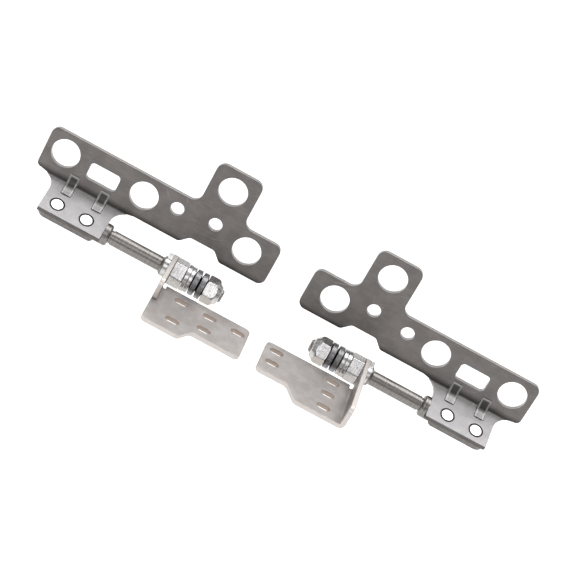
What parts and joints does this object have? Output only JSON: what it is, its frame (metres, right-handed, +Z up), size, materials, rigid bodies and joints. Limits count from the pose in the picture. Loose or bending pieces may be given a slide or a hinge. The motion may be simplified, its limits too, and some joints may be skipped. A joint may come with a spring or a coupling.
{
  "type": "laptop hinge pair",
  "caption": "Mirrored pair of friction hinges for a laptop lid: perforated sheet lid brackets riveted to shafts, spring washer stacks and slotted base brackets.",
  "frame": {"origin": "on the case plane under the hinge axis, midway between the two hinges", "axes": "+X along the common hinge axis to the right hinge, +Y to the back of the laptop, +Z up from the case"},
  "size_m": [0.1192, 0.0287, 0.0277],
  "materials": {
    "lid_sheet": "fine brushed grey",
    "shaft_steel": "turned",
    "rivet_steel": "bright",
    "base_sheet": "satin",
    "bright_steel": "bright plated",
    "spring_steel": "dark oiled"
  },
  "bodies": {
    "base": {"left_base_bracket": "base_sheet", "left_hex_collar": "bright_steel", "right_base_bracket": "base_sheet", "right_hex_collar": "bright_steel"},
    "left_lid": {"left_lid_bracket": "lid_sheet", "left_hinge_shaft": "shaft_steel", "left_shaft_rivets": "rivet_steel", "left_stop_washer": "bright_steel", "left_friction_disc": "bright_steel", "left_thrust_washer": "bright_steel", "left_spring_washer_1": "spring_steel", "left_spring_washer_2": "spring_steel", "left_spring_washer_3": "spring_steel", "left_spring_washer_4": "spring_steel", "left_lock_nut": "bright_steel"},
    "right_lid": {"right_lid_bracket": "lid_sheet", "right_hinge_shaft": "shaft_steel", "right_shaft_rivets": "rivet_steel", "right_stop_washer": "bright_steel", "right_friction_disc": "bright_steel", "right_thrust_washer": "bright_steel", "right_spring_washer_1": "spring_steel", "right_spring_washer_2": "spring_steel", "right_spring_washer_3": "spring_steel", "right_spring_washer_4": "spring_steel", "right_lock_nut": "bright_steel"}
  },
  "joints": [
    {"name": "left_hinge", "type": "hinge", "parent": "base", "child": "left_lid", "pos_m": [0, 0, 0.0025], "axis": [1, 0, 0], "range_deg": [-52, 98]},
    {"name": "right_hinge", "type": "hinge", "parent": "base", "child": "right_lid", "pos_m": [0, 0, 0.0025], "axis": [1, 0, 0], "range_deg": [-52, 98]}
  ]
}
